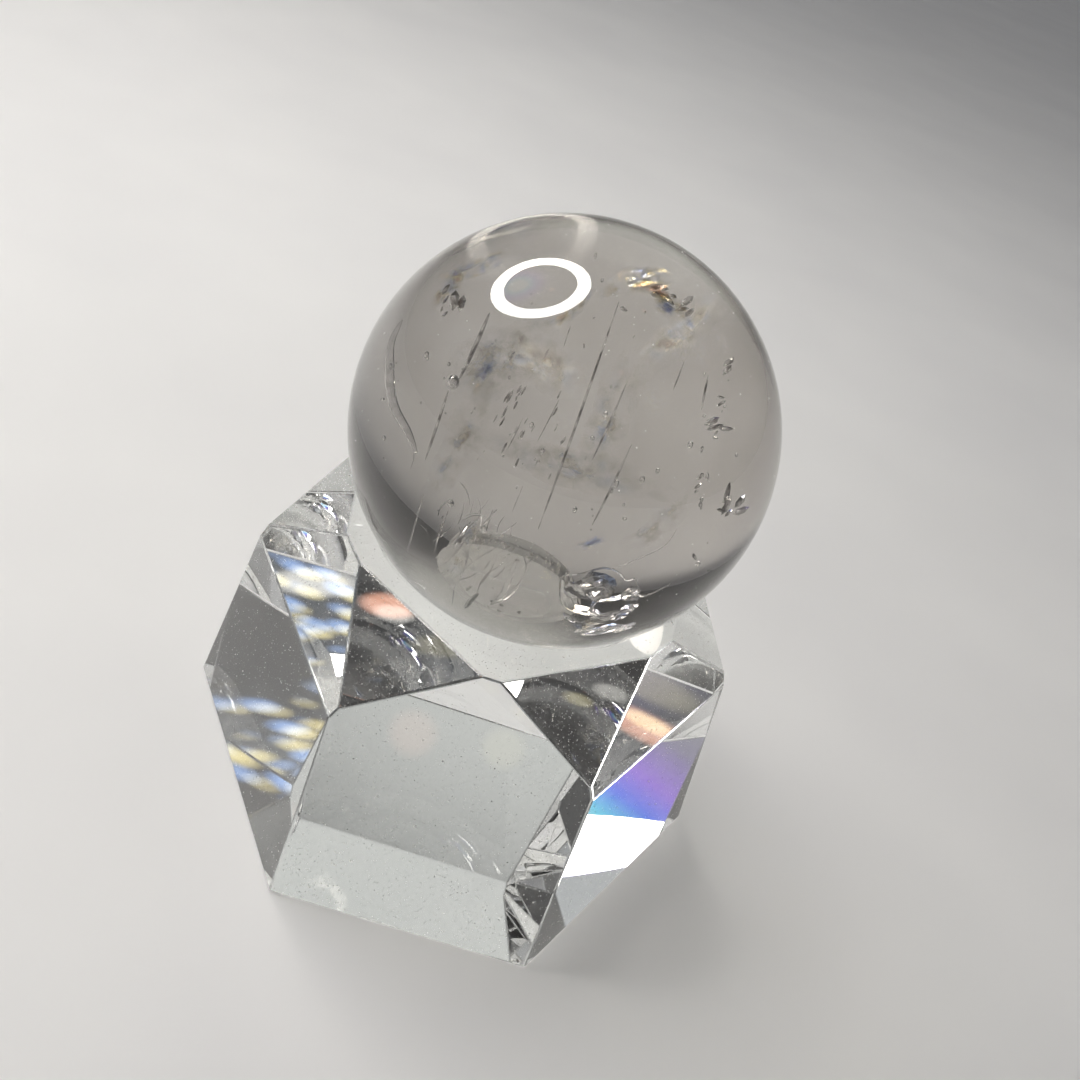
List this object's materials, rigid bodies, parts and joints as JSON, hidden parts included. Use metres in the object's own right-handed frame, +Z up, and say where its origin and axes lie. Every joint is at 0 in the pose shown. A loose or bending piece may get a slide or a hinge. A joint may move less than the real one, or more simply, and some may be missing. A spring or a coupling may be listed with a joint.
{
  "type": "crystal ball on stand",
  "caption": "Clear quartz crystal ball resting in the spherical hollow of a faceted glass stand.",
  "frame": {"origin": "centre of the stand's flat underside, on the axis through the ball's centre", "axes": "+Z up through the ball's centre; -Y towards the middle of one of the three main side facets; +X to that facet's right"},
  "size_m": [0.07, 0.0606, 0.0787],
  "materials": {
    "optical_glass": "ground and polished clear glass, faint grey-green in the thick parts, crisp facet edges, dust and fine scratches",
    "quartz": "polished natural rock crystal, faintly smoky, with fracture veils, growth tubes and fluid inclusions"
  },
  "bodies": {
    "stand": {"faceted_stand": "optical_glass"},
    "ball": {"crystal_ball": "quartz"}
  },
  "joints": [
    {"name": "ball_lift", "type": "slide", "parent": "stand", "child": "ball", "axis": [0, 0, 1], "range_m": [0, 0.04]}
  ]
}
